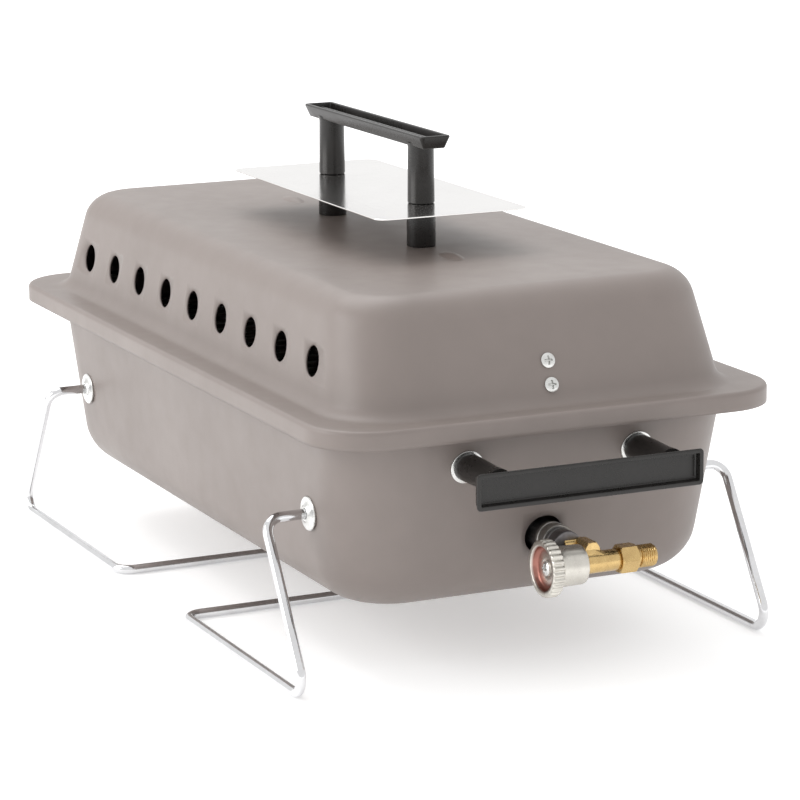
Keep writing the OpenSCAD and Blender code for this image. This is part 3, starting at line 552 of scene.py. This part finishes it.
def cross_head(at, axis, radius, height):
    """A pan head: rings of a low dome whose height drops to a floor inside two crossed
    slots. The rings run from the rim to the middle and the sides fall to the seat."""
    axis, side, third = square_axes(axis)
    slot_half, slot_reach, slot_depth = 0.13, 0.62, 0.6 * height
    rho = np.concatenate([[1, 1], np.linspace(0.97, 0.03, 22)])[:, None]
    a = np.linspace(0, 2 * np.pi, 64, endpoint=False)[None]
    u, v = rho * np.cos(a), rho * np.sin(a)
    rise = height * (1 - 0.45 * rho ** 2.5)
    slot = np.clip((slot_half - np.minimum(np.abs(u), np.abs(v))) / 0.05, 0, 1)
    slot = slot * np.clip((slot_reach - rho) / 0.08, 0, 1)
    rise = rise - slot * slot_depth
    rise[0] = 0
    points = (np.asarray(at) + radius * (u[..., None] * side + v[..., None] * third)
              + rise[..., None] * axis)
    return patch(points[::-1], start_pole=True)


tilt = math.atan2(DOME_RUN_X, LID_TOP - LEDGE_Z)
HEAD_RISE, HEAD_GAP = 11 * MM, 14 * MM
heads = []
for s in (-1, 1):
    for i in (0, 1):
        z = LEDGE_Z + HEAD_RISE + i * HEAD_GAP * math.cos(tilt)
        x = DOME_X - DOME_RUN_X * (z - LEDGE_Z) / (LID_TOP - LEDGE_Z)
        outward = (s * math.cos(tilt), 0, math.sin(tilt))
        heads.append(cross_head((s * x, 0, z), outward, HEAD_R, HEAD_H))
piece("lid_end_screws", heads, ZINC, "lid", ["lid_strip_screws"], sharp=50)


# ---------------------------------------------------------------------------
# Side handles. Black moulded trays that open outwards, on two round posts that
# stand on bright washers against the firebox's ends.
# ---------------------------------------------------------------------------
SIDE_LOW, SIDE_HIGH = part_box("side_handle_right")
SIDE_T, SIDE_H, SIDE_GAP, SIDE_DROP = 8 * MM, 21 * MM, 108 * MM, 3 * MM
SIDE_Z = BOX_RIM_Z - 28.5 * MM
WASHER_R, WASHER_T = 10 * MM, 1.2 * MM


def side_handle(side):
    """The tray, turned to face outwards, and two posts cut to the lean of the wall."""
    face = SIDE_HIGH[0]
    shape = tray(SIDE_HIGH[1] - SIDE_LOW[1], SIDE_H, SIDE_T, 2.6 * MM, 4.6 * MM, 0.8 * MM)
    body = np.stack([face - SIDE_T + shape[..., 2], shape[..., 0],
                     SIDE_Z - SIDE_DROP + shape[..., 1]], axis=-1)
    root_x = box_half(SIDE_Z)[0] + WASHER_T + 0.3 * MM
    reach = face - SIDE_T + 1 * MM - root_x
    profile = [(0.8 * MM, 0), (8.2 * MM, 0), (8.0 * MM, reach * 0.35), (7.4 * MM, reach * 0.75),
               (7.7 * MM, reach), (0.8 * MM, reach)]
    parts = [body]
    for sy in (-1, 1):
        post = lathe(profile, (root_x, sy * SIDE_GAP / 2, SIDE_Z), (1, 0, 0))
        lean = (post[..., 2] - SIDE_Z) * math.tan(end_lean)
        near = np.clip(1 - (post[..., 0] - root_x) / (0.3 * reach), 0, 1)
        post[..., 0] += lean * near
        parts.append(post)
    return [patch(part * np.array([side, 1, 1]), flip=side > 0, start_pole=True, end_pole=True)
            for part in parts]


def washers(side):
    """Thin discs with rounded edges that lie on the leaning end wall."""
    out = []
    for sy in (-1, 1):
        half = box_half(SIDE_Z)[0]
        axis = (side * math.cos(end_lean), 0, -math.sin(end_lean))
        at = (side * half, sy * SIDE_GAP / 2, SIDE_Z)
        out.append(turned(rounded(WASHER_R, WASHER_T, 0.35 * MM), at, axis))
    return out


piece("side_grip_right", side_handle(1), BLACK, "base", ["side_handle_right"])
piece("side_grip_left", side_handle(-1), BLACK, "base", ["side_handle_left"])
piece("side_washers", washers(1) + washers(-1), ZINC, "base",
      ["side_handle_washers"])


# ---------------------------------------------------------------------------
# Legs. Each is one length of 6 mm chromed wire, bent at six places, with its
# ends sprung into flanged bushes through the long walls.
# ---------------------------------------------------------------------------
CHROME = metal("chromed_wire", (0.74, 0.74, 0.75), (0.66, 0.66, 0.67), rough=(0.07, 0.14),
               stretch=(200, 200, 200), strength=0.03, mottle_scale=60)
WIRE_R, WIRE_BEND = 3 * MM, 10 * MM
PIVOT_X, PIVOT_Z, LEG_Y = 185 * MM, 94 * MM, 150 * MM
FOOT_OUT, FOOT_IN = 58 * MM, 129 * MM
WIRE_END_Y = box_half(PIVOT_Z)[1] - SHEET - 9 * MM


def bent_path(corners, bend, steps=9):
    """The centre line of a bent wire: each inner corner becomes an arc of the bend radius,
    tangent to both runs, drawn from its centre by the two unit vectors of its plane."""
    corners = np.asarray(corners, float)
    runs = np.diff(corners, axis=0)
    runs /= np.linalg.norm(runs, axis=1)[:, None]
    path = [corners[:1]]
    for point, before, after in zip(corners[1:-1], runs[:-1], runs[1:]):
        turn = math.acos(float(before @ after))
        back = bend * math.tan(turn / 2)
        inward = after - before * float(before @ after)
        inward /= np.linalg.norm(inward)
        a = np.linspace(0, turn, steps)[:, None]
        middle = point - before * back + inward * bend
        path.append(middle + bend * (before * np.sin(a) - inward * np.cos(a)))
    path.append(corners[-1:])
    return np.vstack(path)


def swept(path, radius, around=20, edge=0.4):
    """A round bar along a path. Each ring stands square to the path, the frame is carried
    from ring to ring without twist, and the ends are rounded over."""
    step = np.diff(path, axis=0)
    step /= np.linalg.norm(step, axis=1)[:, None]
    tangent = np.vstack([step[:1], step[:-1] + step[1:], step[-1:]])
    tangent /= np.linalg.norm(tangent, axis=1)[:, None]
    normal = np.cross(tangent[0], [0.3, 0.2, 0.9])
    normals = []
    for t in tangent:
        normal = normal - t * (normal @ t)
        normal = normal / np.linalg.norm(normal)
        normals.append(normal)
    normals = np.array(normals)
    size = np.full(len(path), radius)
    ends = np.array([1 - edge, 1 - edge * 0.3]) * radius
    path = np.vstack([path[0], path[0] + step[0] * edge * 0.3 * radius,
                      path[0] + step[0] * edge * radius, path[1:-1],
                      path[-1] - step[-1] * edge * radius,
                      path[-1] - step[-1] * edge * 0.3 * radius, path[-1]])
    size = np.concatenate([ends, [radius], size[1:-1], [radius], ends[::-1]])
    spread = [0, 0] + list(range(len(normals))) + [len(normals) - 1] * 2
    normals, tangent = normals[spread], tangent[spread]
    binormal = np.cross(tangent, normals)
    a = np.linspace(0, 2 * np.pi, around, endpoint=False)[None, :, None]
    ring = np.cos(a) * normals[:, None] + np.sin(a) * binormal[:, None]
    return patch(path[:, None] + size[:, None, None] * ring, flip=True, start_pole=True, end_pole=True)


def leg_path(side):
    """Stub, arm, foot, crossbar, foot, arm and stub of one leg."""
    outer, inner = PIVOT_X + FOOT_OUT, PIVOT_X - FOOT_IN
    half = [(PIVOT_X, WIRE_END_Y, PIVOT_Z), (PIVOT_X, LEG_Y, PIVOT_Z), (outer, LEG_Y, WIRE_R),
            (inner, LEG_Y, WIRE_R)]
    corners = [(x, -y, z) for x, y, z in half] + half[::-1]
    return bent_path(np.array(corners) * np.array([side, 1, 1]), WIRE_BEND)


for name, side in (("leg_right", 1), ("leg_left", -1)):
    piece(name + "_wire", [swept(leg_path(side), WIRE_R)], CHROME, name, [name],
          sharp=60)

BUSH_R = 10 * MM
BUSH = np.array([(3.4, -1.0), (9.6, -0.8), (10, -0.2), (10, 0.5), (9.6, 0.95), (8.2, 1.25),
                 (5.6, 1.6), (4.6, 2.4), (4.1, 2.7), (3.4, 2.6), (3.1, 2.2), (3.1, -1.0)]) * MM
wall_y = box_half(PIVOT_Z + BUSH_R)[1]
bushes = [lathe(BUSH, (sx * PIVOT_X, sy * wall_y, PIVOT_Z), (0, sy, 0))
          for sx in (-1, 1) for sy in (-1, 1)]
piece("leg_pivot_bushes", [patch(np.vstack([bush, bush[:1]]), flip=True) for bush in bushes],
      ZINC, "base", ["leg_bushes"])


# ---------------------------------------------------------------------------
# Knob. A zinc die casting: a knurled disc with a dished face, on a stout hub
# that covers the valve's spindle, held by a small screw in the dish.
# ---------------------------------------------------------------------------
CAST = metal("zinc_casting", (0.66, 0.635, 0.58), (0.55, 0.525, 0.48), rough=(0.26, 0.40),
             stretch=(600, 600, 600), strength=0.25, mottle_scale=120)
KNOB_LOW, KNOB_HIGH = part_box("knob")
HUB_R, KNOB_T, FLUTES = 11.5 * MM, 7.5 * MM, 28
VALVE_X, VALVE_Z = (KNOB_LOW[0] + KNOB_HIGH[0]) / 2, (KNOB_LOW[2] + KNOB_HIGH[2]) / 2
KNOB_Y0, KNOB_Y1 = KNOB_LOW[1], KNOB_HIGH[1]


def knurl(angle, radius, along):
    """Rounded flutes round the disc only: the radius dips where a cosine wave is low."""
    wave = np.clip(0.5 - 0.9 * np.cos(FLUTES * angle), 0, 1)
    on_rim = (radius > HUB_R + 3.4 * MM) & (along > 0.4 * MM) & (along < KNOB_T - 0.2 * MM)
    return radius - 1.1 * MM * wave * on_rim


hub_l = KNOB_Y1 - KNOB_Y0
KNOB = np.array([(0.5, 4.1), (4.8, 4.1), (5.2, 3.6), (5.6, 3.4), (7.5, 3.9), (10.5, 3.9),
                 (11.9, 3.3), (12.5, 1.6), (12.8, 0.5), (13.3, 0.1), (14.6, 0.0), (15.7, 0.3),
                 (16.3, 0.8), (16.5, 1.6), (16.5, 3.5), (16.5, 5.8), (16.2, 6.7), (15.4, 7.3),
                 (14.0, 7.6), (12.6, 8.2), (11.9, 9.4), (11.6, 12), (11.5, 18), (11.4, 23.5),
                 (11.0, 24.9), (10.0, 25.5), (6.0, 25.5), (5.8, 25.2), (0.5, 25.2)]) * MM
KNOB[:, 1] *= hub_l / (25.5 * MM)
knob = piece("knob_casting", [turned(KNOB, (VALVE_X, KNOB_Y0, VALVE_Z), (0, 1, 0), 224, knurl)], CAST,
             "knob", ["knob"], sharp=55)
# The dish's wall takes a darker reddish tint, paler towards the middle, carried by an attribute of the
# mesh.
points = np.empty(3 * len(knob.data.vertices))
knob.data.vertices.foreach_get("co", points)
points = points.reshape(-1, 3) - (VALVE_X, KNOB_Y0, VALVE_Z)
reach = np.hypot(points[:, 0], points[:, 2])
tint = np.clip((12.9 * MM - reach) / (0.3 * MM), 0, 1)
tint = tint * np.clip((reach - 6.5 * MM) / (4 * MM), 0.12, 1) * (points[:, 1] < 4.3 * MM)
knob.data.attributes.new("dish", "FLOAT", "POINT").data.foreach_set("value", tint)
tree = CAST.node_tree
dish = tree.nodes.new("ShaderNodeAttribute")
dish.attribute_name = "dish"
blend = tree.nodes.new("ShaderNodeMix")
blend.data_type = "RGBA"
blend.inputs["B"].default_value = (0.34, 0.155, 0.125, 1)
mottled = tree.nodes["Principled BSDF"].inputs["Base Color"].links[0].from_socket
tree.links.new(dish.outputs["Fac"], blend.inputs["Factor"])
tree.links.new(mottled, blend.inputs["A"])
tree.links.new(blend.outputs["Result"], tree.nodes["Principled BSDF"].inputs["Base Color"])
centre_screw = cross_head((VALVE_X, KNOB_Y0 + 4.05 * MM, VALVE_Z), (0, -1, 0), HEAD_R, 2.4 * MM)
piece("knob_centre_screw", [centre_screw], ZINC, "knob", ["knob_screw"], sharp=50)


# ---------------------------------------------------------------------------
# Valve body and gas inlet. Machined brass: a round body behind the knob, a
# six-sided boss that turns to the burner's jet, and a hexagon with a male thread.
# ---------------------------------------------------------------------------
BRASS = metal("machined_brass", (0.66, 0.47, 0.21), (0.52, 0.355, 0.155), rough=(0.18, 0.32),
              stretch=(500, 500, 500), strength=0.12, mottle_scale=200)
BODY_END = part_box("valve_body")[1][1]
INLET_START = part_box("gas_inlet")[0][1]
BODY_R, BOSS_Y, BOSS_FLATS = 6.2 * MM, 8.5 * MM, 9 * MM
BOSS_IN, LINK_X, LINK_R = 12 * MM, VALVE_X - 14.5 * MM, 4.2 * MM


def hexagon(flats, chamfer, length):
    """Radius of a hexagon bar round its axis, cut back at both ends by a cone."""
    def shape(angle, radius, along):
        side = np.mod(angle, np.pi / 3) - np.pi / 6
        hexagonal = flats / 2 / np.cos(side)
        end = np.minimum(along, length - along)
        cone = flats / 2 + np.clip(end - chamfer * 0.2, 0, None) * 1.6
        return np.where(radius < flats * 0.3, radius, np.minimum(hexagonal, cone))
    return shape


def hex_bar(flats, length, at, axis):
    """A six-sided bar with chamfered ends."""
    near_end = np.linspace(0.1, 1.2, 6) * MM
    along = np.concatenate([[0, 0], near_end, length - near_end[::-1], [length, length]])
    radius = np.full(len(along), flats / 2)
    radius[[0, -1]] = flats * 0.1
    return turned(np.column_stack([radius, along]), at, axis, 72, hexagon(flats, 0.6 * MM, length))


THREAD_R, THREAD_PITCH, THREAD_DEPTH = 6.58 * MM, 1.337 * MM, 0.75 * MM


def thread(angle, radius, along):
    """A left-hand thread: a V whose depth follows how far a point lies from the helix's crest."""
    turn = np.mod(along / THREAD_PITCH + angle / (2 * np.pi), 1)
    depth = 1 - np.abs(2 * turn - 1)
    return np.where(radius > THREAD_R * 0.8, radius - THREAD_DEPTH * depth, radius)


body_l = 22 * MM
body_y = BODY_END - body_l
valve = [turned(rounded(BODY_R, body_l, 0.5 * MM), (VALVE_X, body_y, VALVE_Z), (0, 1, 0)),
         hex_bar(BOSS_FLATS, BOSS_IN + 2 * MM, (VALVE_X - BOSS_IN, BOSS_Y, BURNER_Z), (1, 0, 0)),
         turned(rounded(LINK_R, BOSS_Y + 2 * MM, 0.6 * MM), (LINK_X, -2 * MM, BURNER_Z), (0, 1, 0)),
         turned(rounded(LINK_R, 4 * MM, 0.4 * MM), (LINK_X, BOSS_Y, BURNER_Z), (1, 0, 0))]
# The shoulder between boss and body: circles whose middle slides down to the body's axis.
a = np.linspace(0, 2 * np.pi, 48, endpoint=False)[None]
t = np.array([0.3, 0.35, 0.8, 4, 6.4, 8, 10, 12, 13.0, 13.1])[:, None] * MM
slide = np.clip((t - 6.4 * MM) / (6.7 * MM), 0, 1)
size = np.array([1, 4.6, 5, 5, 5, 5.2, 5.5, 5.8, 6, 1])[:, None] * MM
shoulder = np.dstack([VALVE_X - 2 * MM * (1 - slide) + size * np.cos(a), body_y + t + 0 * a,
                      VALVE_Z + 5 * MM * (1 - slide) + size * np.sin(a)])
valve.append(patch(shoulder, start_pole=True, end_pole=True))
piece("valve_body_brass", valve, BRASS, "base", ["valve_body"], sharp=30)

NUT_FLATS, INLET_NECK_R = 15 * MM, 5.6 * MM
nut_l, neck_l, tip_l = 11 * MM, 1.3 * MM, 11 * MM
neck_y = INLET_START + nut_l - 0.5 * MM
along = np.linspace(0, tip_l, 97)
end = np.minimum(along, tip_l - along)
crest = THREAD_R - np.clip(0.9 * MM - end, 0, None)
tip = np.column_stack([np.concatenate([[2.6 * MM], crest, [4.4 * MM, 4.2 * MM, 0.6 * MM]]),
                       np.concatenate([[0], along, [tip_l, tip_l - 0.6 * MM, tip_l - 4 * MM]])])
inlet_neck = rounded(INLET_NECK_R, neck_l + 1 * MM, 0.2 * MM)
inlet = [hex_bar(NUT_FLATS, nut_l, (VALVE_X, INLET_START, VALVE_Z), (0, 1, 0)),
         turned(inlet_neck, (VALVE_X, neck_y, VALVE_Z), (0, 1, 0)),
         turned(tip, (VALVE_X, INLET_START + nut_l + neck_l, VALVE_Z), (0, 1, 0), 60, thread)]
piece("inlet_brass", inlet, BRASS, "base", ["gas_inlet"], sharp=30)


# ---------------------------------------------------------------------------
# Burner. A drawn steel tube with two rows of ports, necked down to pass the
# firebox's end wall. A plug in its mouth holds the jet, inside a plated shutter.
# ---------------------------------------------------------------------------
DARK_STEEL = metal("heated_steel", (0.20, 0.19, 0.19), (0.12, 0.115, 0.12), rough=(0.28, 0.45),
                   stretch=(80, 700, 700), strength=0.2, mottle_scale=40)
TUBE_R, NECK_R = 12.5 * MM, 8.75 * MM
tube_start, tube_end = -190 * MM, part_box("burner_tube")[1][0]
TUBE = [(1 * MM, tube_start), (TUBE_R - 1.5 * MM, tube_start),
        (TUBE_R - 0.4 * MM, tube_start + 0.5 * MM), (TUBE_R, tube_start + 1.6 * MM),
        (TUBE_R, 195 * MM), (TUBE_R - 0.5 * MM, 198 * MM), (NECK_R + 0.5 * MM, 209 * MM),
        (NECK_R, 212 * MM), (NECK_R, tube_end - 0.3 * MM), (NECK_R - 0.4 * MM, tube_end),
        (NECK_R - 1 * MM, tube_end - 0.3 * MM), (NECK_R - 1 * MM, 215 * MM), (1 * MM, 214 * MM)]
port_x = np.linspace(tube_start + 20 * MM, 175 * MM, 14)
port_out = math.cos(math.radians(30))
PORT = [(0.2 * MM, 0), (1.5 * MM, 0), (1.6 * MM, 0.15 * MM), (1.2 * MM, 0.2 * MM),
        (1.15 * MM, -1.6 * MM), (0.2 * MM, -1.6 * MM)]
ports = [turned(PORT, (x, s * TUBE_R * port_out, BURNER_Z + TUBE_R * 0.5),
                (0, s * port_out, 0.5), 16) for x in port_x for s in (-1, 1)]
tab = rings(np.array([6, 7, 7, 6]) * MM, np.array([5.5, 6.5, 6.5, 5.5]) * MM, 2 * MM,
            np.array([-1.5, -1.1, 1.1, 1.5]) * MM, np.linspace(-1, 1, 3), np.linspace(-1, 1, 3), 4)
tab = tab + np.array([tube_start - 7 * MM, 0, BURNER_Z])
piece("burner_tube_steel", [turned(TUBE, (0, 0, BURNER_Z), (1, 0, 0), 56)] + ports
      + [patch(tab, flip=True, start_pole=True, end_pole=True)],
      DARK_STEEL, "base", ["burner_tube"])

HOLDER_LOW, HOLDER_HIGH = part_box("jet_holder")
HOLDER_R = 8.7 * MM
holder_bar = rounded(HOLDER_R, HOLDER_HIGH[0] - HOLDER_LOW[0], 0.7 * MM)
holder = turned(holder_bar, (HOLDER_LOW[0], 0, BURNER_Z), (1, 0, 0))
piece("jet_holder_plug", [holder], DARK_STEEL, "base", ["jet_holder"])

SHUTTER_LOW, SHUTTER_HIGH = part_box("air_shutter")
shutter_l = SHUTTER_HIGH[0] - SHUTTER_LOW[0]
SHUTTER = np.array([(8.8, 0), (9.7, 0), (9.95, 0.25), (9.95, 2.2), (9.5, 2.6), (9.5, 7.2),
                    (9.95, 7.6), (9.95, 9.7), (9.7, 10), (8.8, 10), (8.8, 0)]) * MM
SHUTTER[:, 1] *= shutter_l / (10 * MM)
DULL_ZINC = metal("dull_zinc_plate", (0.36, 0.35, 0.33), (0.25, 0.24, 0.23), rough=(0.28, 0.42),
                  stretch=(300, 300, 300), strength=0.15, mottle_scale=120)
shutter = lathe(SHUTTER, (SHUTTER_LOW[0], 0, BURNER_Z), (1, 0, 0))
piece("air_shutter_ring", [patch(shutter, flip=True)], DULL_ZINC, "base",
      ["air_shutter"])


# ---------------------------------------------------------------------------
# Inside pieces. The cooking grid's chromed wires, the flame tamer, brackets,
# strips and small fixings keep their shapes and take their own finishes.
# ---------------------------------------------------------------------------
BARE_STEEL = metal("bare_steel", (0.50, 0.49, 0.48), (0.40, 0.39, 0.38), rough=(0.30, 0.46),
                   stretch=(60, 600, 600), strength=0.2, mottle_scale=60)
KEPT = {"grid_frame": CHROME, "grid_bars": CHROME, "grid_braces": CHROME, "jet": BRASS,
        "burner_screw": ZINC, "side_handle_screws": ZINC, "lid_handle_screws": ZINC,
        "lid_handle_washers": ZINC}
for name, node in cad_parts.items():
    if name not in replaced:
        for slot in node.material_slots:
            slot.material = KEPT.get(name, BARE_STEEL)


# ---------------------------------------------------------------------------
# Studio. A plain pale floor like a light table, one wide soft light on the front
# and one above, a white surround, and the camera.
# ---------------------------------------------------------------------------
floor_mesh = bpy.data.meshes.new("studio_floor")
floor_half = 30
corners = [(-floor_half, -floor_half, 0), (floor_half, -floor_half, 0),
           (floor_half, floor_half, 0), (-floor_half, floor_half, 0)]
floor_mesh.from_pydata(corners, [], [(0, 1, 2, 3)])
studio_floor = bpy.data.objects.new("studio_floor", floor_mesh)
bpy.context.scene.collection.objects.link(studio_floor)
floor_paint = finish_of("pale_floor", (0.86, 0.86, 0.86), (0.84, 0.84, 0.84), mottle_scale=0.8,
                        rough=(0.7, 0.8), peel_scale=200, peel_strength=0.02)
floor_mesh.materials.append(floor_paint)
floor_shader = floor_paint.node_tree.nodes["Principled BSDF"]
floor_shader.inputs["Emission Color"].default_value = (1, 1, 1, 1)
floor_shader.inputs["Emission Strength"].default_value = 0.35


def area_light(name, place, target, size, watts):
    """A rectangular lamp at a place, turned so that its local -Z looks at the target."""
    light = bpy.data.lights.new(name, "AREA")
    light.shape = "RECTANGLE"
    light.size, light.size_y = size
    light.energy = watts
    lamp = bpy.data.objects.new(name, light)
    aim = (Vector(target) - Vector(place)).to_track_quat("-Z", "Y")
    lamp.matrix_world = Matrix.Translation(place) @ aim.to_matrix().to_4x4()
    bpy.context.scene.collection.objects.link(lamp)


area_light("front_light", (-0.6, -2.8, 1.3), (0, 0, 0.12), (2.4, 1.8), 42)
area_light("top_light", (-1.2, -0.2, 2.6), (0, 0, 0.1), (2.4, 2.0), 40)

world = bpy.data.worlds.new("studio")
bpy.context.scene.world = world
world.use_nodes = True
background = world.node_tree.nodes["Background"]
background.inputs["Color"].default_value = (1, 1, 1, 1)
background.inputs["Strength"].default_value = 1.0
bpy.context.scene.view_settings.view_transform = "Standard"

CAMERA_AZIMUTH, CAMERA_ELEVATION, CAMERA_ROLL = 65.04, 12.62, -0.34
CAMERA_LENS, SENSOR = 147.47, 36.0
azimuth, elevation, roll = (math.radians(v) for v in (CAMERA_AZIMUTH, CAMERA_ELEVATION, CAMERA_ROLL))
back = Vector((math.sin(azimuth) * math.cos(elevation),
               -math.cos(azimuth) * math.cos(elevation), math.sin(elevation)))
level_right = Vector((0, 0, 1)).cross(back).normalized()
level_up = back.cross(level_right)
right = level_right * math.cos(roll) + level_up * math.sin(roll)
up = level_up * math.cos(roll) - level_right * math.sin(roll)
place = Vector((1.84508, -0.83769, 0.56386))
camera_data = bpy.data.cameras.new("camera")
camera_data.lens, camera_data.sensor_width = CAMERA_LENS, SENSOR
camera_data.shift_y = 0.001
camera_data.clip_end = 100
camera = bpy.data.objects.new("camera", camera_data)
turn = Matrix((right, up, back)).transposed().to_4x4()
camera.matrix_world = Matrix.Translation(place) @ turn
bpy.context.scene.collection.objects.link(camera)
bpy.context.scene.camera = camera
